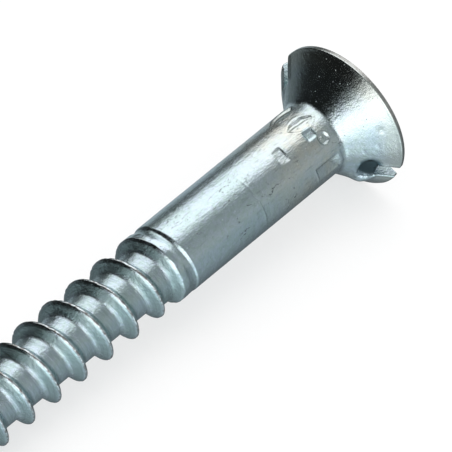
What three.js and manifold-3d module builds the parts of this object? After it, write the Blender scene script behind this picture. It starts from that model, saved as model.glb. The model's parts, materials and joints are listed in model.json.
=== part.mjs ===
// A slotted countersunk wood screw, one piece of zinc-plated steel. Millimetres, +Z up.
//
// The screw is shaped along its own axis, which is the lathe's Y axis: the flat head face is at y = 0 and
// the point at y = -LENGTH. Angles round the axis run from +Z towards +X, so a right-hand thread climbs
// towards the head as the angle grows. At the end it is laid down on its head rim and its thread.
import * as THREE from 'three';
import { mergeVertices } from 'three/addons/utils/BufferGeometryUtils.js';
import Module from 'manifold-3d';

const degrees = THREE.MathUtils.degToRad;
const TURN = 2 * Math.PI;
const SEGMENTS = 36;

// No. 12 gauge screw, 2 inches long
const LENGTH = 50.8;
const SHANK_RADIUS = 2.794;
const HEAD_RADIUS = 5.5;
const CONE_HALF_ANGLE = degrees(44);
const RIM_LAND = 0.32;
const POINT_LENGTH = 7.6;

// Driver slot
const SLOT_WIDTH = 1.2;
const SLOT_DEPTH = 1.7;
const SLOT_ANGLE = degrees(114);

// Rounded hollow where one end of the slot breaks out of the cone
const POCKET_Y = -1.86;
const POCKET_ACROSS = -0.05;
const POCKET_WIDTH = 2.1;
const POCKET_RADIUS = 0.67;

// Thread
const PITCH = 2.5;
const CORE_RATIO = 0.7;
const CREST_WIDTH = 0.14;
const FLANK_SLOPE = Math.tan(degrees(34));
const RUNOUT_END = -18.37;
const RUNOUT_END_ANGLE = degrees(325);
const RUNOUT_SWEEP = degrees(320);
const SHALLOWEST = 0.02;
const GROOVE_STOP = -LENGTH + 1.3;
const CUTTER_PROUD = 0.1;

// Shallow step rolled round the shank just above the thread
const STEP_TOP = -18.04;
const STEP_WIDTH = 0.32;
const STEP_DEPTH = 0.13;
const STEP_RUN = 0.65;

// Lens-shaped dents that the heading machine's dies leave under the head: axial place, angle, length, width
const DIE_MARK_DEPTH = 0.14;
const DIE_MARKS = [
  { y: -4.57, angle: degrees(-38), length: 1.95, width: 1.2 },
  { y: -4.77, angle: degrees(4), length: 2.2, width: 1.15 },
  { y: -4.72, angle: degrees(83), length: 2.25, width: 1.05 },
  { y: -7.62, angle: degrees(27), length: 1.25, width: 1.15 },
];

const wasm = await Module();
wasm.setup();

function toSolid(geometry) {
  const bare = geometry.clone();
  bare.deleteAttribute('normal');
  bare.deleteAttribute('uv');
  const merged = mergeVertices(bare, 1e-5);
  return new wasm.Manifold(new wasm.Mesh({
    numProp: 3,
    vertProperties: new Float32Array(merged.attributes.position.array),
    triVerts: new Uint32Array(merged.index.array),
  }));
}

function toGeometry(solid) {
  const { vertProperties, triVerts } = solid.getMesh();
  const geometry = new THREE.BufferGeometry();
  geometry.setAttribute('position', new THREE.BufferAttribute(vertProperties, 3));
  geometry.setIndex(new THREE.BufferAttribute(triVerts, 1));
  geometry.computeVertexNormals();
  return geometry;
}

// Outer radius of the threaded stretch: straight, then a cone down to the point
function crestRadius(y) {
  const left = THREE.MathUtils.clamp((y + LENGTH) / POINT_LENGTH, 0, 1);
  return SHANK_RADIUS * left;
}

function blankGeometry() {
  const coneLength = (HEAD_RADIUS - SHANK_RADIUS) / Math.tan(CONE_HALF_ANGLE);
  const stepBottom = STEP_TOP - STEP_WIDTH;
  const profile = [
    [0, -LENGTH],
    [SHANK_RADIUS, -LENGTH + POINT_LENGTH],
    [SHANK_RADIUS, stepBottom - STEP_RUN],
    [SHANK_RADIUS - STEP_DEPTH, stepBottom],
    [SHANK_RADIUS, STEP_TOP],
    [SHANK_RADIUS, -RIM_LAND - coneLength],
    [HEAD_RADIUS, -RIM_LAND],
    [HEAD_RADIUS, 0],
    [0, 0],
  ];
  const points = profile.map(([radius, y]) => new THREE.Vector2(radius, y));
  return new THREE.LatheGeometry(points, SEGMENTS, Math.PI / SEGMENTS);
}

// Cross-section of the thread groove, as [radius, y] corners, a sweep angle below the end of the run-out.
// Its edge on the point's side keeps to the helix, and the other edge closes in as the groove fades out.
function grooveSection(sweep) {
  const fullness = THREE.MathUtils.clamp(sweep / RUNOUT_SWEEP, SHALLOWEST, 1);
  const middle = RUNOUT_END - (PITCH * sweep) / TURN;
  const fullDepth = crestRadius(middle) * (1 - CORE_RATIO);
  const depth = fullDepth * fullness;
  const rootRadius = (y) => crestRadius(y) * (1 - (1 - CORE_RATIO) * fullness);
  const rootWidth = (PITCH - CREST_WIDTH - 2 * fullDepth * FLANK_SLOPE) * fullness ** 0.3;
  const low = middle - (PITCH - CREST_WIDTH) / 2;
  const rootLow = low + depth * FLANK_SLOPE;
  const rootHigh = rootLow + rootWidth;
  const high = rootHigh + depth * FLANK_SLOPE;
  const flare = CUTTER_PROUD * FLANK_SLOPE;
  return [
    [rootRadius(rootLow), rootLow],
    [rootRadius(rootHigh), rootHigh],
    [crestRadius(high) + CUTTER_PROUD, high + flare],
    [crestRadius(middle) + 3 * CUTTER_PROUD, middle],
    [crestRadius(low) + CUTTER_PROUD, low - flare],
  ];
}

// The groove as a closed solid: its section swept down the helix from the run-out to the point
function grooveGeometry() {
  const sweepEnd = ((RUNOUT_END - GROOVE_STOP) / PITCH) * TURN;
  const steps = Math.floor((sweepEnd / TURN) * SEGMENTS);
  const positions = [];
  for (let step = 0; step <= steps; step += 1) {
    const sweep = (step / SEGMENTS) * TURN;
    const angle = RUNOUT_END_ANGLE - sweep;
    for (const [radius, y] of grooveSection(sweep)) {
      positions.push(radius * Math.sin(angle), y, radius * Math.cos(angle));
    }
  }
  const corners = 5;
  const index = [];
  for (let step = 0; step < steps; step += 1) {
    for (let corner = 0; corner < corners; corner += 1) {
      const a = step * corners + corner;
      const b = step * corners + ((corner + 1) % corners);
      index.push(a, a + corners, b + corners, a, b + corners, b);
    }
  }
  const last = steps * corners;
  for (let corner = 1; corner < corners - 1; corner += 1) {
    index.push(0, corner, corner + 1);
    index.push(last, last + corner + 1, last + corner);
  }
  const geometry = new THREE.BufferGeometry();
  geometry.setAttribute('position', new THREE.Float32BufferAttribute(positions, 3));
  geometry.setIndex(index);
  return geometry;
}

function slotGeometry() {
  const margin = 1;
  return new THREE.BoxGeometry(SLOT_WIDTH, SLOT_DEPTH + margin, 2 * HEAD_RADIUS + margin)
    .translate(0, (margin - SLOT_DEPTH) / 2, 0)
    .rotateY(SLOT_ANGLE);
}

function pocketGeometry() {
  const coneRadius = HEAD_RADIUS + (POCKET_Y + RIM_LAND) * Math.tan(CONE_HALF_ANGLE);
  return new THREE.SphereGeometry(1, 20, 12)
    .scale(POCKET_WIDTH / 2, POCKET_RADIUS, POCKET_RADIUS)
    .translate(POCKET_ACROSS, POCKET_Y, coneRadius)
    .rotateY(SLOT_ANGLE);
}

// A dent is a flattened ball sunk into the shank, proud of it by twice the dent's depth
function dieMarkGeometry({ y, angle, length, width }) {
  const thickness = 3 * DIE_MARK_DEPTH;
  const chord = Math.sqrt(1 - (2 / 3) ** 2);
  return new THREE.SphereGeometry(1, 16, 10)
    .scale(width / 2 / chord, length / 2 / chord, thickness)
    .translate(0, y, SHANK_RADIUS - DIE_MARK_DEPTH + thickness)
    .rotateY(angle);
}

function screwMesh() {
  const cuts = [grooveGeometry(), slotGeometry(), pocketGeometry(), ...DIE_MARKS.map(dieMarkGeometry)];
  let solid = toSolid(blankGeometry());
  for (const cut of cuts) solid = solid.subtract(toSolid(cut));
  const zinc = new THREE.MeshStandardMaterial({ color: 0xb4bec6, metalness: 1, roughness: 0.3 });
  const mesh = new THREE.Mesh(toGeometry(solid), zinc);
  mesh.name = 'wood_screw';
  return mesh;
}

// Lays the screw down along X, tilted so that the rim of the head and the last full turn of thread both
// touch z = 0, then centres it over the origin
function layDown(screw) {
  const tilt = Math.atan2(HEAD_RADIUS - SHANK_RADIUS, LENGTH - POINT_LENGTH - RIM_LAND);
  screw.rotation.z = -Math.PI / 2;
  const lying = new THREE.Group();
  lying.rotation.y = -tilt;
  lying.add(screw);
  const part = new THREE.Group();
  part.add(lying);
  part.updateMatrixWorld(true);
  const box = new THREE.Box3().setFromObject(part, true);
  const centre = box.getCenter(new THREE.Vector3());
  lying.position.set(-centre.x, -centre.y, -box.min.z);
  return part;
}

export default layDown(screwMesh());
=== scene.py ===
"""Looks of the slotted countersunk wood screw: its surface, its zinc plate and the studio round it."""
import json
import math

import bmesh
import bpy
import numpy as np
from mathutils import Matrix, Vector


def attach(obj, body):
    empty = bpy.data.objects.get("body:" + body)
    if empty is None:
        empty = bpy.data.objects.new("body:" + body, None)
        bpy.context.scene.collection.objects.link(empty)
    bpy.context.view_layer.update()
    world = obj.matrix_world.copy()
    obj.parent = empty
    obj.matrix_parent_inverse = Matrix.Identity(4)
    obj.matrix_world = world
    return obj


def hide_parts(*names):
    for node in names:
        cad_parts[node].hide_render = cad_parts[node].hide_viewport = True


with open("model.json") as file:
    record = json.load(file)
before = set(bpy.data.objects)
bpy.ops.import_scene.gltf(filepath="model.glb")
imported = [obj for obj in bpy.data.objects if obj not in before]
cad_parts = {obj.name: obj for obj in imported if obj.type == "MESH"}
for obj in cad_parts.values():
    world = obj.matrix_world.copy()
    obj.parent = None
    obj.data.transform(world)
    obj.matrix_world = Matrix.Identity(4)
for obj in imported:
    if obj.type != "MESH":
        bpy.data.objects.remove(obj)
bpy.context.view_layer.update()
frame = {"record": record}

NODE = "wood_screw"


# ---------------------------------------------------------------------------------------------------------
# Dimensions in millimetres, the same as the CAD part's. Along the screw's own axis, 0 is the flat head face
# and the point is at -LENGTH. Angles round the axis run from its upper side towards -Y of the frame.
LENGTH = 50.8
SHANK_RADIUS = 2.794
HEAD_RADIUS = 5.5
CONE_ANGLE = math.radians(44)
CONE_SLOPE = math.tan(CONE_ANGLE)
RIM_LAND = 0.32
POINT_LENGTH = 7.6
SLOT_HALF = 0.6
SLOT_DEPTH = 1.7
SLOT_ANGLE = math.radians(114)
PITCH = 2.5
CORE_RATIO = 0.7
CREST_WIDTH = 0.14
FLANK_SLOPE = math.tan(math.radians(34))
RUNOUT_END = -18.37
RUNOUT_END_ANGLE = math.radians(325)
RUNOUT_SWEEP = math.radians(320)
STEP_TOP = -18.04
STEP_WIDTH = 0.32
STEP_DEPTH = 0.13
STEP_RUN = 0.65

# Hollow where one end of the slot breaks out of the cone: its place along the axis, its shift across the
# slot, and half its size up the cone, out of it and across the slot
POCKET_PLACE = -1.86
POCKET_SHIFT = -0.05
POCKET_UP = 0.66
POCKET_OUT = 0.68
POCKET_ACROSS = 1.06

# Height of the burr along the slot's edges, and how many times higher it is at the slot's other end
BURR = 0.05
FAR_BURR = 2.4

# Small pocks on the cone: place along the axis, angle round it in degrees, size
POCKS = ((-1.07, 65.5, 0.20), (-1.44, 80.5, 0.11), (-2.14, 85.6, 0.09))
POCK_DEPTH = 0.075

# Dents from the heading machine's dies: the stretch they lie in, and where the block-shaped one is
MARKS_FROM = -9
BLOCK_MARK = -4.87
BLOCK_MARK_ANGLE = math.radians(26)

# How finely the surface is divided: columns all round, columns in half the slot's mouth, rows to a pitch
AROUND = 180
MOUTH = 6
PER_PITCH = 24

# Where its parts meet: the very point, the end of the thread, and the foot of the head
TIP_RING = -LENGTH + 0.25
THREAD_RING = STEP_TOP - STEP_WIDTH - 0.05
HEAD_FROM = -3.3

# Columns are even below this place and fitted to the slot above the next one
EVEN_BELOW = -8.0
FITTED_ABOVE = -2.9

# The mesh's points this near the hollow's centre are spread out, in this many rounds
CROWDED = 1.45
SPREADING_ROUNDS = 12

# Patches join where their points are this close, and edges shorter than the second distance, which is in
# metres, are dissolved at the end
JOIN_WITHIN = 2e-4
SHORTEST_EDGE = 1e-8

# Smooth noise is built from this many waves in each octave, and an octave is taken to be this high when the
# sum is brought to about -1 to 1
OCTAVES = 2
WAVES_TO_AN_OCTAVE = 7
OCTAVE_HEIGHT = 3.0


def smooth_min(a, b, size):
    """The smaller of two values, with the corner between them rounded off over size."""
    h = np.maximum(size - np.abs(a - b), 0) / size
    return np.minimum(a, b) - h * h * size / 4


def smooth_max(a, b, size):
    """The larger of two values, with the corner between them rounded off over size."""
    return -smooth_min(-a, -b, size)


def smooth_step(low, high, value):
    """Rises smoothly from 0 to 1 as the value goes from low to high."""
    t = np.clip((value - low) / (high - low), 0, 1)
    return t * t * (3 - 2 * t)


def waves(points, scale, seed):
    """Smooth seeded noise of about -1 to 1: sine waves in random directions, the longest one scale long."""
    rng = np.random.default_rng(seed)
    total = np.zeros(len(points))
    weight = 0.0
    for octave in range(OCTAVES):
        for _ in range(WAVES_TO_AN_OCTAVE):
            direction = rng.normal(size=3)
            direction *= 2 * math.pi * 2**octave / np.linalg.norm(direction)
            total += np.sin((points / scale) @ direction + rng.uniform(0, 2 * math.pi)) / 2**octave
        weight += OCTAVE_HEIGHT / 2**octave
    return total / weight


# ---------------------------------------------------------------------------------------------------------
# Where the screw lies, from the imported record: its axis, and the centre of its flat head face in metres

slot_floor = next(mount for mount in frame["record"]["mounts"] if mount["name"] == "slot_floor")
AXIS = Vector(slot_floor["axis"]).normalized()
HEAD_CENTRE = Vector(slot_floor["pos_m"]) + AXIS * SLOT_DEPTH / 1000
SIDE = Vector((0, -1, 0))
UPPER = SIDE.cross(AXIS)


def to_frame(points):
    """From the screw's own axes in millimetres to the frame in metres."""
    turn = np.array([SIDE, AXIS, UPPER])
    return points @ turn / 1000 + np.array(HEAD_CENTRE)


# ---------------------------------------------------------------------------------------------------------
# The surface: its radius at each place along and round the axis


def crest_radius(x):
    """Radius of the threaded stretch before the groove is cut: straight, then down to the point."""
    taper = SHANK_RADIUS * (x + LENGTH) / POINT_LENGTH
    return np.maximum(smooth_min(taper, np.full_like(taper, SHANK_RADIUS), 0.4), 0.01)


def groove_depth(x, angle):
    """How far the thread groove is cut below the crest radius."""
    start = (RUNOUT_END_ANGLE - angle) / (2 * math.pi)
    sweep = start + np.round((RUNOUT_END - x) / PITCH - start)
    middle = RUNOUT_END - PITCH * sweep
    fullness = np.clip(sweep * 2 * math.pi / RUNOUT_SWEEP, 0, 1)
    full_depth = crest_radius(middle) * (1 - CORE_RATIO)
    depth = crest_radius(x) * (1 - CORE_RATIO) * fullness
    root_width = (PITCH - CREST_WIDTH - 2 * full_depth * FLANK_SLOPE) * fullness**0.3
    low = middle - (PITCH - CREST_WIDTH) / 2
    high = low + root_width + 2 * full_depth * fullness * FLANK_SLOPE
    flanks = np.minimum(x - low, high - x) / FLANK_SLOPE
    root_rounding = 0.26
    crest_rounding = 0.06
    cut = smooth_min(flanks, depth, root_rounding)
    cut = smooth_max(cut, np.zeros_like(cut), crest_rounding)
    return cut * smooth_step(0.0, 0.15, fullness) * smooth_step(-LENGTH + 0.3, -LENGTH + 1.5, x)


def step_depth(x, angle):
    """The shallow step rolled round the shank just above the thread, a little out of square and uneven."""
    out_of_square = 0.24
    wall_slope = 0.75
    bottom = STEP_TOP - STEP_WIDTH
    x = x - out_of_square * np.sin(angle - math.radians(37)) * smooth_step(-15, -17, x)
    depth = 1.3 * STEP_DEPTH * (0.6 + 0.6 * np.cos(angle + math.radians(10)))
    cut = smooth_min((STEP_TOP - x) * wall_slope, depth, 0.05)
    cut = smooth_max(cut, np.zeros_like(cut), 0.03)
    return cut * smooth_step(bottom - STEP_RUN, bottom, x)


def around(angle, at):
    """Distance round the shank from an angle, in millimetres."""
    return ((angle - at + math.pi) % (2 * math.pi) - math.pi) * SHANK_RADIUS


def dented(cut, inside, rim=0.018):
    """A dent's depth, with the metal it pushed up standing as a low rim outside its edge."""
    return smooth_max(cut, np.zeros_like(cut), 0.012) - rim * np.exp(-(((inside + 0.07) / 0.06) ** 2))


def flat_mark(x, angle, centre, at, half_length, half_width, depth, tilt, roll, end_slope, lean, rim):
    """A flat facet pressed into the shank, tilted along the shank and rolled round it."""
    across = around(angle, at)
    along = x - centre - lean * across
    flat = depth + tilt * along + roll * across - across**2 / (2 * SHANK_RADIUS)
    ends = np.minimum(along + half_length, (half_length - along) * end_slope)
    inside = smooth_min(ends, half_width - np.abs(across), 0.08)
    return dented(smooth_min(flat, inside, 0.03), inside, rim)


def leaf_inside(x, angle, centre, at, half_length, half_width, turn):
    """Places along and across a leaf shape, two arcs that meet at its ends, and how far inside they are."""
    across = around(angle, at)
    along = x - centre
    u = along * math.cos(turn) + across * math.sin(turn)
    v = across * math.cos(turn) - along * math.sin(turn)
    inside = np.maximum(half_width * (1 - (u / half_length) ** 2) - np.abs(v), -0.5)
    return u, v, inside


def hollow_leaf(x, angle, centre, at, half_length, half_width, depth, turn):
    """A leaf-shaped dent with a level floor."""
    _, _, inside = leaf_inside(x, angle, centre, at, half_length, half_width, turn)
    return dented(smooth_min(inside, np.full_like(inside, depth), 0.05), inside, rim=0.035)


def creased_leaf(x, angle, centre, at, half_length, half_width, depth, turn):
    """A leaf-shaped dent with a deep crease along one side and lumpy metal along the other."""
    gentle_slope = 0.42
    steep_slope = 0.75
    u, v, inside = leaf_inside(x, angle, centre, at, half_length, half_width, turn)
    from_crease = v + 0.18
    crease = depth - np.where(from_crease < 0, -gentle_slope * from_crease, steep_slope * from_crease)
    lumps = 0.045 + 0.03 * np.sin(7.5 * u + 1) * np.cos(9 * v)
    cut = smooth_min(inside * 1.2, smooth_max(crease, lumps, 0.04), 0.04)
    return dented(cut, inside, rim=0.03)


def nick_mark(x, angle, centre, at, radius, depth):
    """A round nick with an island of metal left in it."""
    across = around(angle, at)
    distance = np.hypot(x - centre, across)
    inside = radius - distance
    island = 0.09 * np.exp(-(np.hypot(x - centre + 0.08, across + 0.04) / 0.13) ** 2)
    floor = smooth_min(inside * 0.9, np.full_like(inside, depth), 0.04)
    return dented(floor - island, inside)


def mark_depth(x, angle):
    """The dents that the heading machine's dies leave under the head."""
    degrees = math.radians
    dents = [
        hollow_leaf(
            x, angle, centre=-4.67, at=degrees(-33),
            half_length=1.18, half_width=0.56, depth=0.15, turn=degrees(-6),
        ),
        creased_leaf(
            x, angle, centre=-4.77, at=degrees(5),
            half_length=1.18, half_width=0.58, depth=0.19, turn=degrees(5),
        ),
        flat_mark(
            x, angle, centre=BLOCK_MARK, at=BLOCK_MARK_ANGLE,
            half_length=0.42, half_width=0.38, depth=0.085, tilt=0.0, roll=0.0,
            end_slope=1.0, lean=0.0, rim=0.018,
        ),
        nick_mark(x, angle, centre=-4.21, at=degrees(42), radius=0.47, depth=0.13),
        flat_mark(
            x, angle, centre=-4.72, at=degrees(84),
            half_length=1.10, half_width=0.54, depth=0.145, tilt=0.090, roll=-0.18,
            end_slope=0.45, lean=0.2, rim=0.03,
        ),
        flat_mark(
            x, angle, centre=-7.68, at=degrees(24),
            half_length=0.42, half_width=0.60, depth=0.080, tilt=0.05, roll=-0.014,
            end_slope=1.0, lean=0.0, rim=0.012,
        ),
    ]
    return np.sum(dents, axis=0)


def ring_mark(x, angle):
    """A hair-thin ridge part of the way round the middle of the shank."""
    place = -11.17
    height = 0.03
    width = 0.07
    lean = 0.16
    arc = around(angle, math.radians(50)) / SHANK_RADIUS
    reach = smooth_step(0.85, 0.55, np.abs(arc))
    return -height * np.exp(-(((x - place - lean * arc) / width) ** 2)) * reach


def skin(points):
    """Change of radius from drawing and rolling, and from knocks on the thread's crests."""
    knock_depth = 0.035
    x = points[:, 1]
    stretched = points * np.array([1.0, 0.35, 1.0])
    ripple = 0.0035 * waves(stretched, scale=1.6, seed=11) + 0.002 * waves(points, scale=0.7, seed=12)
    knocks = smooth_step(0.2, 0.9, waves(points, scale=0.7, seed=13))
    crest = smooth_step(0.35, 0.1, SHANK_RADIUS - np.hypot(points[:, 0], points[:, 2]))
    threaded = smooth_step(-18.6, -19.2, x)
    return ripple - knock_depth * knocks * crest * threaded


def cone_radius(x):
    """Radius of the cone under the head, carried on past both its ends."""
    return HEAD_RADIUS + (x + RIM_LAND) * CONE_SLOPE


def head_radius(x):
    """Radius of the head: the cone, and then its rim."""
    return np.minimum(cone_radius(x), HEAD_RADIUS)


def screw_radius(x, angle):
    """Radius at a place below the level of the slot's floor."""
    radius = np.where(x < -LENGTH / 2, crest_radius(x), SHANK_RADIUS)
    radius = radius - groove_depth(x, angle) * (x < THREAD_RING + 1e-6) - step_depth(x, angle)
    marked = (x > MARKS_FROM) & (x < HEAD_FROM)
    radius = radius - np.where(marked, mark_depth(x, angle), 0) - ring_mark(x, angle)
    return np.minimum(np.maximum(radius, cone_radius(x)), HEAD_RADIUS)


# ---------------------------------------------------------------------------------------------------------
# The mesh


class Patches:
    """Gathers grids of points, in the screw's own axes, and the faces between them."""

    def __init__(self):
        self.points = []
        self.faces = []
        self.count = 0

    def add(self, points):
        """Keeps the points, and gives back their numbers."""
        points = np.asarray(points, float).reshape(-1, 3)
        first = self.count
        self.points.append(points)
        self.count += len(points)
        return first + np.arange(len(points))

    def grid(self, points, wrap=False, flip=False):
        """Fills a grid of rows by columns with quads. wrap joins the last column to the first, and flip
        turns the quads over."""
        rows, columns = points.shape[:2]
        index = self.add(points).reshape(rows, columns)
        if wrap:
            index = np.concatenate([index, index[:, :1]], axis=1)
        quads = np.stack([index[:-1, :-1], index[:-1, 1:], index[1:, 1:], index[1:, :-1]], axis=-1)
        quads = quads.reshape(-1, 4)
        self.faces.extend((quads[:, ::-1] if flip else quads).tolist())
        return index


def turned(radius, x, angle):
    """Points in the screw's own axes from a radius, a place along the axis and an angle round it."""
    radius, x, angle = np.broadcast_arrays(radius, x, angle)
    return np.stack([radius * np.sin(angle), x, radius * np.cos(angle)], axis=-1)


def by_slot(along, across, x):
    """Points in the screw's own axes from places along and across the slot."""
    along, across, x = np.broadcast_arrays(along, across, x)
    s, c = math.sin(SLOT_ANGLE), math.cos(SLOT_ANGLE)
    return np.stack([along * s + across * c, x, along * c - across * s], axis=-1)


def from_slot(points):
    """Places along and across the slot of points in the screw's own axes."""
    s, c = math.sin(SLOT_ANGLE), math.cos(SLOT_ANGLE)
    return points[:, 0] * s + points[:, 2] * c, points[:, 0] * c - points[:, 2] * s


def closing_in(count, tightness=0.8, reach=2.6):
    """Shares from 0 to 1 in count steps, with the first and last few steps shorter."""
    step = np.arange(count) + 0.5
    width = 1 - tightness * (np.exp(-((step / reach) ** 2)) + np.exp(-(((count - step) / reach) ** 2)))
    share = np.concatenate([[0], np.cumsum(width)])
    return share / share[-1]


def mouth_shares():
    """Places across the slot's mouth as shares of its half width."""
    return np.sin(math.pi / 2 * np.arange(-MOUTH, MOUTH + 1) / MOUTH)


def slot_columns(radius):
    """Angle of each column from the slot's direction, fitted to a slot cut into a round of that radius."""
    mouth = np.arcsin(mouth_shares() * SLOT_HALF / radius)
    edge = mouth[-1]
    half = edge + (math.pi - 2 * edge) * closing_in(AROUND // 2 - 2 * MOUTH)
    turn = np.concatenate([mouth[:-1], half[:-1]])
    return np.concatenate([turn, turn + math.pi])


def columns_at(x):
    """Angle of every column at each place along the axis: even low down, fitted to the slot at the head."""
    even = 2 * math.pi * (np.arange(AROUND) - MOUTH) / AROUND
    rows = []
    for place in x:
        radius = min(max(cone_radius(place), SHANK_RADIUS), HEAD_RADIUS)
        share = float(smooth_step(EVEN_BELOW, FITTED_ABOVE, place))
        rows.append(even * (1 - share) + slot_columns(radius) * share + SLOT_ANGLE)
    return np.array(rows)


def thread_stations():
    """Places along one pitch from a crest to the next, closer together at the crest and root corners."""
    fine = np.linspace(0, PITCH, 2001)
    from_crest = np.minimum(fine, PITCH - fine)
    corner = SHANK_RADIUS * (1 - CORE_RATIO) * FLANK_SLOPE + CREST_WIDTH / 2
    at_crest = 2.4 * np.exp(-((from_crest / 0.13) ** 2))
    at_corner = 1.1 * np.exp(-(((from_crest - corner) / 0.16) ** 2))
    weight = 1 + at_crest + at_corner
    total = np.concatenate([[0], np.cumsum((weight[1:] + weight[:-1]) / 2)])
    return np.interp(np.arange(PER_PITCH) / PER_PITCH * total[-1], total, fine)


def thread_patch(patches):
    """The threaded stretch: a grid sheared along the helix, trimmed to a flat ring at both ends."""
    gap = 0.03
    pitches = np.arange(-16, 3)
    crest = RUNOUT_END + PITCH / 2 - PITCH * RUNOUT_END_ANGLE / (2 * math.pi)
    helix = (pitches[:, None] * PITCH + thread_stations()).ravel()
    angles = 2 * math.pi * (np.arange(AROUND + 1) - MOUTH) / AROUND + SLOT_ANGLE
    columns = []
    for angle in angles:
        x = crest + helix + PITCH * angle / (2 * math.pi)
        inside = np.nonzero((x > TIP_RING + gap) & (x < THREAD_RING - gap))[0]
        place = np.concatenate([[TIP_RING], x[inside], [THREAD_RING]])
        turn = np.full_like(place, angle)
        points = turned(screw_radius(place, turn), place, turn)
        columns.append((inside[0], patches.add(points)))
    for (low_a, a), (low_b, b) in zip(columns[:-1], columns[1:]):
        zip_columns(patches, a, b, low_a - low_b)


def zip_columns(patches, a, b, shift):
    """Faces between two neighbouring columns, where b may start a station lower and a may end one higher."""
    if shift:
        patches.faces.append([a[0], b[0], b[1]])
    shared = min(len(a), len(b) - shift) - 1
    for i in range(shared):
        patches.faces.append([a[i], b[i + shift], b[i + shift + 1], a[i + 1]])
    if len(a) > len(b) - shift:
        patches.faces.append([a[shared], b[-1], a[shared + 1]])


def tip_patch(patches):
    """The very point."""
    angles = 2 * math.pi * (np.arange(AROUND) - MOUTH) / AROUND + SLOT_ANGLE
    places = np.array([-LENGTH + 0.04, -LENGTH + 0.14, TIP_RING])
    x, turn = np.meshgrid(places, angles, indexing="ij")
    index = patches.grid(turned(screw_radius(x, turn), x, turn), wrap=True)
    centre = patches.add([[0, -LENGTH, 0]])[0]
    for i in range(AROUND):
        patches.faces.append([centre, index[0, i + 1], index[0, i]])


def ring_places():
    """Places along the axis of the rings from the thread up to the level of the slot's floor."""
    # Where each stretch starts and ends, and how far apart its rings are
    stretches = [
        (THREAD_RING, STEP_TOP + 0.35, 0.045),
        (STEP_TOP + 0.35, -11.5, 0.35),
        (-11.5, -10.9, 0.05),
        (-10.9, -8.4, 0.30),
        (-8.4, -6.8, 0.055),
        (-6.8, -6.1, 0.15),
        (-6.1, HEAD_FROM, 0.055),
        (HEAD_FROM, -2.5, 0.08),
        (-2.5, -SLOT_DEPTH, 0.05),
    ]
    places = [THREAD_RING]
    for low, high, spacing in stretches:
        count = max(1, round((high - low) / spacing))
        places.extend(low + (high - low) * (np.arange(count) + 1) / count)
    return np.array(places)


def head_places():
    """Places along the axis from the slot's floor to the flat face."""
    cone = -SLOT_DEPTH + (SLOT_DEPTH - RIM_LAND) * closing_in(24, 0.7, 2.0)
    land = -RIM_LAND + RIM_LAND * closing_in(6, 0.4, 1.5)
    return np.concatenate([cone, land[1:]])


def head_patches(patches):
    """The two halves of the head on either side of the slot, and the slot's walls and floor."""
    x = head_places()
    radius = head_radius(x)
    half = slice(2 * MOUTH, AROUND // 2 + 1)
    angles = np.array([slot_columns(r)[half] for r in radius])
    rim = angles[-1]
    for side in (1, -1):
        along = radius[:, None] * np.cos(angles) * side
        across = radius[:, None] * np.sin(angles) * side
        patches.grid(by_slot(along, across, x[:, None]))
        slot_edge = HEAD_RADIUS * np.cos(rim)
        rows = closing_in(12, 0.7, 1.6)[:, None]
        across = SLOT_HALF + (HEAD_RADIUS * np.sin(rim) - SLOT_HALF) * rows
        patches.grid(by_slot(slot_edge * side, across * side, 0.0))
        along = np.cos(angles) * radius[:, None]
        patches.grid(by_slot(along * side, SLOT_HALF * side, x[:, None]), flip=True)
    across = mouth_shares() * SLOT_HALF
    ends = np.sqrt(radius[0]**2 - across**2)
    share = np.cos(angles[0]) * radius[0] / np.sqrt(radius[0]**2 - SLOT_HALF**2)
    patches.grid(by_slot(ends[:, None] * share, across[:, None], -SLOT_DEPTH))


def ring_patch(patches):
    """The shank and the lower part of the cone, ring by ring."""
    x = ring_places()
    turn = columns_at(x)
    place = np.broadcast_to(x[:, None], turn.shape)
    patches.grid(turned(screw_radius(place, turn), place, turn), wrap=True)


def by_pocket(points):
    """Distances from the hollow's centre: up the cone, out of it and across the slot."""
    along, across = from_slot(points)
    x = points[:, 1] - POCKET_PLACE
    out = along - cone_radius(POCKET_PLACE)
    up_cone = x * math.cos(CONE_ANGLE) + out * math.sin(CONE_ANGLE)
    off_cone = out * math.cos(CONE_ANGLE) - x * math.sin(CONE_ANGLE)
    return up_cone, off_cone, across - POCKET_SHIFT


def pocket_depth(points):
    """Rough distance to the hollow: below 0 in the open air inside it."""
    up, out, across = by_pocket(points)
    shape = np.sqrt((up / POCKET_UP) ** 2 + (out / POCKET_OUT) ** 2 + (across / POCKET_ACROSS) ** 2)
    return (shape - 1) * 0.6


def pocket_lip(points):
    """Height of the metal pushed up round the lower and inner side of the hollow."""
    up, out, across = by_pocket(points)
    size = np.hypot(up / POCKET_UP, across / POCKET_ACROSS)
    side = smooth_step(-0.25, 0.45, across - 0.8 * up)
    ring = 0.15 * np.exp(-(((size - 1.20) / 0.19) ** 2)) * side
    bulge = 0.26 * np.exp(-(((up + 0.15) / 0.6) ** 2)) + 0.08 * smooth_step(-0.6, 0.6, up)
    bulge = bulge * smooth_step(0.5, 1.3, across) * smooth_step(2.8, 1.9, across)
    return (ring + bulge) * smooth_step(2.0, 1.0, np.abs(out))


def slot_burr(along, across, x):
    """Height of the metal standing up along the slot's edges, from its floor to just below the flat face."""
    height = BURR * np.where(along > 0, 1.0, FAR_BURR)
    lip = np.exp(-(((np.abs(across) - SLOT_HALF - 0.08) / 0.15) ** 2))
    below_face = smooth_step(0.0, -0.25, x)
    above_floor = smooth_step(-SLOT_DEPTH - 0.25, -SLOT_DEPTH + 0.1, x)
    return height * lip * below_face * above_floor


def far_swelling(along, across, x):
    """Height of the swelling on one side of the slot, at the end away from the hollow."""
    ear = smooth_step(0.3, 0.7, across) * smooth_step(2.4, 1.3, across) * (along < 0)
    return 0.12 * ear * smooth_step(-2.6, -1.6, x)


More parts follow.
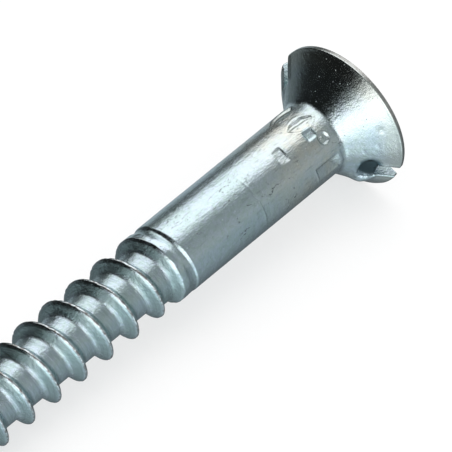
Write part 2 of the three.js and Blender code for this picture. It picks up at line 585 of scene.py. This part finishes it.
def head_depth(points):
    """Rough distance from the head's rounded shape: below 0 inside the metal."""
    x = points[:, 1]
    radius = np.hypot(points[:, 0], points[:, 2])
    along, across = from_slot(points)
    cone = (radius - HEAD_RADIUS - (x + RIM_LAND) * CONE_SLOPE) * math.cos(CONE_ANGLE)
    cone = cone - slot_burr(along, across, x) - far_swelling(along, across, x) - pocket_lip(points)
    for pock_place, pock_angle, pock_size in POCKS:
        pock = turned(head_radius(pock_place), pock_place, math.radians(pock_angle))
        cone = cone + POCK_DEPTH * np.exp(-(((points - pock) ** 2).sum(axis=1) / pock_size**2))
    rolled_edge = 0.03 * np.exp(-(((x + RIM_LAND) / 0.09) ** 2))
    body = smooth_min(radius - SHANK_RADIUS, cone, 0.16)
    body = smooth_max(body, radius - HEAD_RADIUS, 0.07) - rolled_edge * smooth_step(5.0, 5.3, radius)
    body = smooth_max(body, x, 0.10)
    slot = np.maximum(np.abs(across) - SLOT_HALF, -SLOT_DEPTH - x)
    return smooth_max(smooth_max(body, -slot, 0.10), -pocket_depth(points), 0.10)


def settle(points):
    """Moves the head's points onto its rounded shape, by a few steps down the slope of the distance to it."""
    nudge = 1e-4
    rounds = 6
    least_steepness = 0.25
    head = points[:, 1] > HEAD_FROM - 0.05
    moved = points[head]
    for _ in range(rounds):
        depth = head_depth(moved)
        slope = np.stack([(head_depth(moved + nudge * axis) - depth) / nudge for axis in np.eye(3)], axis=-1)
        steepness = np.maximum((slope**2).sum(axis=1, keepdims=True), least_steepness)
        moved = moved - depth[:, None] * slope / steepness
    points[head] = moved
    return points


def places_of(verts):
    """Where the mesh's points are, as an array."""
    return np.array([vert.co for vert in verts])


def move(verts, places):
    """Puts the mesh's points at new places."""
    for vert, place in zip(verts, places):
        vert.co = place


def settle_shell(shell):
    """Moves the shell's points onto the head's shape, and spreads out those that crowd round the hollow."""
    move(shell.verts, settle(places_of(shell.verts)))
    distances = np.linalg.norm(by_pocket(places_of(shell.verts)), axis=0)
    crowded = [vert for vert, distance in zip(shell.verts, distances) if distance < CROWDED]
    all_ways = {"use_axis_x": True, "use_axis_y": True, "use_axis_z": True}
    for _ in range(SPREADING_ROUNDS):
        bmesh.ops.smooth_vert(shell, verts=crowded, factor=0.5, **all_ways)
        move(crowded, settle(places_of(crowded)))


def uneven(points):
    """The points with the slight unevenness of the shank and the thread."""
    radius = np.maximum(np.hypot(points[:, 0], points[:, 2]), 1e-6)
    turned_face = smooth_step(HEAD_FROM + 0.5, HEAD_FROM, points[:, 1])
    change = skin(points) * smooth_step(0.1, 1.0, radius) * turned_face
    points[:, [0, 2]] *= (1 + change / radius)[:, None]
    return points


def screw_mesh():
    """The whole surface: the patches are joined along their edges first, and shaped after."""
    patches = Patches()
    thread_patch(patches)
    tip_patch(patches)
    ring_patch(patches)
    head_patches(patches)
    mesh = bpy.data.meshes.new("screw_surface")
    mesh.from_pydata(np.concatenate(patches.points).tolist(), [], patches.faces)
    shell = bmesh.new()
    shell.from_mesh(mesh)
    bmesh.ops.remove_doubles(shell, verts=shell.verts, dist=JOIN_WITHIN)
    settle_shell(shell)
    move(shell.verts, to_frame(uneven(places_of(shell.verts))))
    bmesh.ops.dissolve_degenerate(shell, edges=shell.edges, dist=SHORTEST_EDGE)
    bmesh.ops.recalc_face_normals(shell, faces=shell.faces)
    shell.to_mesh(mesh)
    shell.free()
    mesh.polygons.foreach_set("use_smooth", [True] * len(mesh.polygons))
    return mesh


# ---------------------------------------------------------------------------------------------------------
# The zinc plate


class Nodes:
    """Short calls for building the nodes of a material or the world."""

    def __init__(self, tree):
        self.tree = tree

    def add(self, kind, **settings):
        node = self.tree.nodes.new(kind)
        for name, value in settings.items():
            setattr(node, name, value)
        return node

    def feed(self, socket, value):
        if isinstance(value, bpy.types.NodeSocket):
            self.tree.links.new(value, socket)
        elif value is not None:
            socket.default_value = value

    def math(self, operation, a, b=None):
        node = self.add("ShaderNodeMath", operation=operation)
        for socket, value in zip(node.inputs, (a, b)):
            self.feed(socket, value)
        return node.outputs[0]

    def times(self, first, *others):
        for other in others:
            first = self.math("MULTIPLY", first, other)
        return first

    def plus(self, first, *others):
        for other in others:
            first = self.math("ADD", first, other)
        return first

    def rest_of(self, share):
        return self.math("SUBTRACT", 1.0, share)

    def step(self, value, low, high, to_low=0.0, to_high=1.0):
        """Rises smoothly from to_low to to_high as the value goes from low to high."""
        node = self.add("ShaderNodeMapRange", interpolation_type="SMOOTHSTEP")
        for name, setting in (("Value", value), ("From Min", low), ("From Max", high),
                              ("To Min", to_low), ("To Max", to_high)):
            self.feed(node.inputs[name], setting)
        return node.outputs["Result"]

    def noise(self, vector, scale, detail, roughness, distortion=0.0):
        node = self.add("ShaderNodeTexNoise")
        for name, setting in (("Vector", vector), ("Scale", scale), ("Detail", detail),
                              ("Roughness", roughness), ("Distortion", distortion)):
            self.feed(node.inputs[name], setting)
        return node.outputs["Fac"]

    def vector_math(self, operation, a, b):
        node = self.add("ShaderNodeVectorMath", operation=operation)
        self.feed(node.inputs[0], a)
        self.feed(node.inputs[1], b)
        return node

    def stretch(self, vector, scale):
        return self.vector_math("MULTIPLY", vector, scale).outputs[0]

    def distance(self, vector, place):
        return self.vector_math("DISTANCE", vector, place).outputs["Value"]

    def towards(self, vector, direction):
        return self.vector_math("DOT_PRODUCT", vector, direction).outputs["Value"]

    def split(self, vector):
        node = self.add("ShaderNodeSeparateXYZ")
        self.feed(node.inputs[0], vector)
        return node.outputs

    def join(self, x, y, z):
        node = self.add("ShaderNodeCombineXYZ")
        for socket, value in zip(node.inputs, (x, y, z)):
            self.feed(socket, value)
        return node.outputs[0]

    def mix(self, share, a, b):
        node = self.add("ShaderNodeMix", data_type="RGBA")
        for name, setting in (("Factor", share), ("A", a), ("B", b)):
            sockets = [socket for socket in node.inputs if socket.name == name and socket.enabled]
            self.feed(sockets[0], setting)
        return next(socket for socket in node.outputs if socket.enabled)


# Colours of the plated metal, from clean to stained, among them a greenish painted shade for the thread's
# flanks and, last, a dark teal painted shade for the slot's hollow
BLUISH = (0.60, 0.685, 0.735, 1)
GREENISH = (0.55, 0.66, 0.645, 1)
WARM = (0.74, 0.70, 0.60, 1)
DARK = (0.20, 0.22, 0.23, 1)
# Greenish painted shade for the thread's flanks
FLANK_SHADE = (0.40, 0.52, 0.50, 1)
RUBBED_DULL = (0.28, 0.25, 0.23, 1)
RUBBED_BRIGHT = (0.66, 0.69, 0.69, 1)
RIM_BROWN = (0.38, 0.36, 0.335, 1)
# Dark teal painted shade for the slot's hollow
POCKET_SHADE = (0.045, 0.105, 0.125, 1)


def own_place(n):
    """A point's place in the screw's own axes in millimetres: x along it, 0 at the head face."""
    tilt = math.atan2(AXIS.z, AXIS.x)
    turn = Matrix.Rotation(tilt, 3, "Y")
    mapping = n.add("ShaderNodeMapping", vector_type="POINT")
    mapping.inputs["Rotation"].default_value = (0, tilt, 0)
    mapping.inputs["Scale"].default_value = (1000, 1000, 1000)
    mapping.inputs["Location"].default_value = -(turn @ (HEAD_CENTRE * 1000))
    n.feed(mapping.inputs["Vector"], n.add("ShaderNodeTexCoord").outputs["Object"])
    return mapping.outputs[0]


def on_screw(x, angle, radius, across=0.0):
    """A fixed place in the same axes, shifted across the direction of its angle."""
    s, c = math.sin(angle), math.cos(angle)
    return (x, across * c - radius * s, across * s + radius * c)


class Regions:
    """Where a shaded point lies, and how far it belongs to each part of the screw, from 0 to 1."""

    def __init__(self, n):
        self.own = own_place(n)
        self.along, self.y, self.z = n.split(self.own)
        self.radius = n.math("SQRT", n.plus(n.times(self.y, self.y), n.times(self.z, self.z)))
        threaded = n.step(self.along, -18.3, -18.6)
        self.head = n.step(self.along, -3.2, -2.9)
        self.shank = n.rest_of(n.math("MAXIMUM", self.head, threaded))
        self.groove = n.times(threaded, n.step(self.radius, 2.72, 2.55))
        self.crest = n.times(n.step(self.along, -19.2, -20.0), n.step(self.radius, 2.70, 2.77))
        self.rim = n.times(n.step(self.along, -0.30, -0.24), n.step(self.radius, 5.38, 5.46))


def thread_lines(n, at):
    """Lines that follow the thread, changing slowly along it, with no seam."""
    turned_by = n.math("ARCTAN2", n.times(at.y, -1.0), at.z)
    lead = n.math("SUBTRACT", n.times(at.along, 2 * math.pi / PITCH), turned_by)
    across_thread = n.join(
        n.times(n.math("SINE", lead), 11.0),
        n.times(n.math("COSINE", lead), 11.0),
        n.times(at.radius, 13.0),
    )
    helix = n.vector_math("ADD", across_thread, n.stretch(at.own, (0.35, 0.35, 0.35)))
    return n.noise(helix.outputs[0], 1.0, 4.0, 0.62)


class Patterns:
    """Streaks, clouds and speckles that the colour, the roughness and the relief share."""

    def __init__(self, n, at):
        self.thread_lines = thread_lines(n, at)
        self.lengthwise_lines = n.noise(n.stretch(at.own, (0.16, 1.0, 1.0)), 5.0, 4.0, 0.66)
        self.cloud = n.noise(at.own, 0.45, 4.0, 0.6)
        self.mottle = n.noise(at.own, 2.6, 5.0, 0.62)
        self.grain = n.noise(at.own, 10.0, 3.0, 0.6)
        self.scuffs = n.noise(n.stretch(at.own, (0.5, 1.0, 1.0)), 4.0, 5.0, 0.7, 1.2)
        scuffed = n.times(n.step(self.scuffs, 0.58, 0.66), n.step(self.cloud, 0.44, 0.56))
        self.shank_scuffs = n.times(scuffed, at.shank)


def warm_share(n, at, patterns):
    """How warm the metal looks: near the head and round its rim, but not in the slot or the block mark."""
    near_head = n.times(n.step(at.along, -12.0, -6.0), n.step(at.along, -3.2, -5.0, 0.3, 1.0))
    clouds = n.times(n.step(patterns.cloud, 0.35, 0.65, 0.30, 0.80), near_head)
    warmth = n.math("MAXIMUM", clouds, n.step(at.along, -1.9, -0.6, 0.0, 0.55))
    across_slot = n.plus(n.times(at.y, math.cos(SLOT_ANGLE)), n.times(at.z, math.sin(SLOT_ANGLE)))
    slot = n.times(n.step(n.math("ABSOLUTE", across_slot), 0.75, 0.61), at.head)
    block = n.distance(at.own, on_screw(BLOCK_MARK, BLOCK_MARK_ANGLE, 2.75))
    return n.times(warmth, n.rest_of(slot), n.step(block, 0.40, 0.70))


def zinc_colour(n, at, patterns):
    """Bluish metal with a faint bloom, greenish painted shade on the thread's flanks, dark lines in the
    thread, rubbed on its crests, and a dark teal painted shade in the hollow.
    """
    tint = n.noise(at.own, 3.0, 5.0, 0.68)
    bloom = n.step(n.plus(n.times(patterns.cloud, 0.5), tint), 0.62, 0.88)
    # Painted shade: the thread's flanks darkened with a greenish tint, rising to 0.65 from just above the
    # root
    flanks = n.times(at.groove, n.step(at.radius, 2.05, 2.25, 0.0, 0.65))
    dark_lines = n.times(n.step(patterns.thread_lines, 0.44, 0.70, 0.0, 0.34), at.groove)
    rubbed = n.mix(n.step(patterns.mottle, 0.42, 0.54), RUBBED_DULL, RUBBED_BRIGHT)
    worn_lines = n.times(n.step(patterns.lengthwise_lines, 0.54, 0.74, 0.0, 0.30), at.shank)
    browned = n.times(at.rim, n.step(patterns.mottle, 0.3, 0.6, 0.55, 0.95))
    # Painted shade: dark teal laid over the slot's hollow, full near its centre and fading out by 1.22 mm
    pocket_shade_centre = on_screw(POCKET_PLACE + 0.40, SLOT_ANGLE, cone_radius(POCKET_PLACE) - 0.35, 0.3)
    painted_pocket_shade = n.times(n.step(n.distance(at.own, pocket_shade_centre), 1.22, 0.85), 0.95)
    layers = (
        (bloom, GREENISH),
        (warm_share(n, at, patterns), WARM),
        (flanks, FLANK_SHADE),
        (dark_lines, DARK),
        (n.times(at.crest, 0.8), rubbed),
        (worn_lines, DARK),
        (patterns.shank_scuffs, DARK),
        (browned, RIM_BROWN),
        (painted_pocket_shade, POCKET_SHADE),
    )
    colour = BLUISH
    for share, layer in layers:
        colour = n.mix(share, colour, layer)
    return colour


def zinc_roughness(n, at, patterns):
    """Glossy, and duller in the groove, on the rim and where the shank is scuffed."""
    return n.plus(
        n.step(patterns.mottle, 0.30, 0.75, 0.12, 0.20),
        n.times(n.math("MAXIMUM", at.groove, at.rim), 0.08),
        n.times(patterns.shank_scuffs, 0.2),
    )


def zinc_relief(n, at, patterns):
    """Height of pits, grain and fine lines in millimetres."""
    pits = n.add("ShaderNodeTexVoronoi", feature="F1", distance="EUCLIDEAN")
    n.feed(pits.inputs["Vector"], at.own)
    pits.inputs["Scale"].default_value = 2.3
    return n.plus(
        n.step(pits.outputs["Distance"], 0.03, 0.10, -0.02, 0.0),
        n.times(patterns.mottle, 0.024),
        n.times(patterns.grain, 0.014),
        n.times(patterns.lengthwise_lines, 0.018, at.shank),
        n.times(patterns.thread_lines, 0.014, at.groove),
        n.times(patterns.scuffs, 0.010, at.shank),
        n.times(patterns.mottle, 0.030, at.groove),
    )


def zinc_plate():
    """Bright zinc, with its colour, roughness and relief from the same patterns."""
    material = bpy.data.materials.new("bright_zinc")
    material.use_nodes = True
    material.node_tree.nodes.clear()
    n = Nodes(material.node_tree)
    at = Regions(n)
    patterns = Patterns(n, at)
    shader = n.add("ShaderNodeBsdfPrincipled")
    n.feed(shader.inputs["Base Color"], zinc_colour(n, at, patterns))
    shader.inputs["Metallic"].default_value = 1.0
    n.feed(shader.inputs["Roughness"], zinc_roughness(n, at, patterns))
    bump = n.add("ShaderNodeBump")
    bump.inputs["Strength"].default_value = 1.0
    bump.inputs["Distance"].default_value = 0.001
    n.feed(bump.inputs["Height"], zinc_relief(n, at, patterns))
    n.feed(shader.inputs["Normal"], bump.outputs[0])
    n.feed(n.add("ShaderNodeOutputMaterial").inputs[0], shader.outputs[0])
    return material


screw = bpy.data.objects.new("screw_surface", screw_mesh())
bpy.context.scene.collection.objects.link(screw)
screw.data.materials.append(zinc_plate())
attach(screw, "root")
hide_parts(NODE)

# ---------------------------------------------------------------------------------------------------------
# Camera: a long lens looking down from the point's side of the screw, with the head in the upper right

VIEW_AZIMUTH = math.radians(312.52)
VIEW_ELEVATION = math.radians(43.54)
VIEW_DISTANCE = 0.41006
LENS = 476.9
SENSOR_WIDTH = 36

# How far the head's centre is from the middle of the picture, in metres
HEAD_RIGHT = 0.008138
HEAD_ABOVE = 0.007724

back = Vector((
    math.sin(VIEW_AZIMUTH) * math.cos(VIEW_ELEVATION),
    -math.cos(VIEW_AZIMUTH) * math.cos(VIEW_ELEVATION),
    math.sin(VIEW_ELEVATION),
))
right = Vector((0, 0, 1)).cross(back).normalized()
up = back.cross(right)
camera = bpy.data.objects.new("camera", bpy.data.cameras.new("camera"))
bpy.context.scene.collection.objects.link(camera)
camera.data.sensor_width = SENSOR_WIDTH
camera.data.lens = LENS
camera.data.clip_start = 0.01
camera.data.clip_end = 20
eye = HEAD_CENTRE - right * HEAD_RIGHT - up * HEAD_ABOVE + back * VIEW_DISTANCE
camera.matrix_world = Matrix.Translation(eye) @ Matrix((right, up, back)).transposed().to_4x4()
bpy.context.scene.camera = camera

# ---------------------------------------------------------------------------------------------------------
# Studio: a pale floor, one big soft light overhead and soft surroundings for the metal to reflect


def studio_floor():
    """A pale square that glows a little, so that it stays even, and that the metal doesn't reflect."""
    mesh = bpy.data.meshes.new("floor")
    reach = 1.5
    corners = [(-reach, -reach, 0), (reach, -reach, 0), (reach, reach, 0), (-reach, reach, 0)]
    mesh.from_pydata(corners, [], [(0, 1, 2, 3)])
    floor = bpy.data.objects.new("floor", mesh)
    bpy.context.scene.collection.objects.link(floor)
    material = bpy.data.materials.new("pale_floor")
    material.use_nodes = True
    shader = material.node_tree.nodes["Principled BSDF"]
    shader.inputs["Base Color"].default_value = (0.40, 0.40, 0.40, 1)
    shader.inputs["Roughness"].default_value = 0.9
    shader.inputs["Specular IOR Level"].default_value = 0.0
    shader.inputs["Emission Color"].default_value = (1, 1, 1, 1)
    shader.inputs["Emission Strength"].default_value = 0.60
    mesh.materials.append(material)
    floor.visible_glossy = False


def soft_light(name, place, aim, size, power):
    """An area light that the metal doesn't reflect."""
    light = bpy.data.lights.new(name, "AREA")
    light.shape = "RECTANGLE"
    light.size, light.size_y = size
    light.energy = power
    lamp = bpy.data.objects.new(name, light)
    bpy.context.scene.collection.objects.link(lamp)
    lamp.location = place
    lamp.rotation_euler = (Vector(place) - Vector(aim)).to_track_quat("Z", "Y").to_euler()
    lamp.visible_glossy = False


# Colours of the light from above, the light from the table and the even glow, and how strong two parts are
SKY_DIM = (0.91, 1.0, 1.03, 1)
SKY_BRIGHT = (0.97, 1.0, 1.04, 1)
TABLE_BLUE = (0.85, 1.0, 1.08, 1)
PALE = (0.97, 0.97, 0.97, 1)
PANEL_POWER = 1.34
WINDOW_POWER = 1.5


def sky_strength(n, way, x, y, z):
    """A soft panel overhead, a window beyond the point, and the paler room in front and to one side."""
    panel = n.times(
        n.step(n.towards(way, (0, 0.970, 0.242)), -0.05, 0.24),
        n.step(n.towards(way, (0, -0.559, 0.829)), -0.18, 0.17),
        n.step(x, -0.45, -0.10),
        PANEL_POWER,
    )
    window = n.times(
        n.step(n.towards(way, (-0.25, -0.63, -0.74)), -0.16, 0.20),
        n.step(x, -0.05, -0.45),
        n.step(y, 0.0, -0.30, 0.4, 1.0),
        WINDOW_POWER,
    )
    front = n.times(
        n.step(n.towards(way, (0.3, -0.95, 0)), -0.2, 0.3, 0.02, 0.43),
        n.step(z, 0.25, 0.48, 0.86, 0.64),
    )
    beside = n.step(x, 0.1, 0.45, 0.0, 0.11)
    return n.plus(panel, window, front, beside)


def ground_strength(n, way, z):
    """The table's sheen, brighter towards the window and in two patches, with a dark edge on one side."""
    to_window = n.towards(way, (-0.80, -0.60, 0))
    sheen = n.plus(
        n.step(to_window, -0.5, 0.2, 0.16, 0.44),
        n.step(to_window, 0.55, 0.95, 0.0, 0.35),
        n.step(to_window, 0.90, 1.0, 0.0, 0.70),
        n.step(n.towards(way, (-0.29, -0.80, -0.53)), 0.95, 0.99, 0.0, 0.80),
        n.step(n.towards(way, (0.52, 0.76, -0.39)), 0.90, 0.99, 0.0, 0.35),
    )
    dark_edge = n.times(
        n.step(n.towards(way, (-0.62, 0.785, 0)), 0.66, 0.84),
        n.step(z, -0.26, -0.04),
        0.7,
    )
    return n.times(sheen, n.rest_of(dark_edge))


def glow(n, colour, strength=None):
    node = n.add("ShaderNodeBackground")
    n.feed(node.inputs["Color"], colour)
    n.feed(node.inputs["Strength"], strength)
    return node.outputs[0]


def blend_glows(n, share, a, b):
    node = n.add("ShaderNodeMixShader")
    for socket, value in zip(node.inputs, (share, a, b)):
        n.feed(socket, value)
    return node.outputs[0]


def surroundings():
    """The world. Only the metal's reflections see the panel, the window and the table's sheen.

    Everything else sees an even pale glow, so the floor is lit evenly and the background is plain.
    """
    world = bpy.data.worlds.new("studio")
    bpy.context.scene.world = world
    world.use_nodes = True
    world.node_tree.nodes.clear()
    n = Nodes(world.node_tree)
    way = n.add("ShaderNodeTexCoord").outputs["Generated"]
    x, y, z = n.split(way)
    sky = sky_strength(n, way, x, y, z)
    sky_glow = glow(n, n.mix(n.step(sky, 0.3, 1.0), SKY_DIM, SKY_BRIGHT), sky)
    ground_glow = glow(n, TABLE_BLUE, ground_strength(n, way, z))
    reflected = blend_glows(n, n.step(z, -0.02, 0.02), ground_glow, sky_glow)
    is_reflection = n.add("ShaderNodeLightPath").outputs["Is Glossy Ray"]
    seen = blend_glows(n, is_reflection, glow(n, PALE), reflected)
    n.feed(n.add("ShaderNodeOutputWorld").inputs[0], seen)
    world.cycles.sampling_method = "NONE"


studio_floor()
surroundings()
soft_light("key", place=(0.15, 0.05, 0.6), aim=(0, 0, 0), size=(0.5, 0.5), power=0.8)
bpy.context.scene.view_settings.view_transform = "Standard"
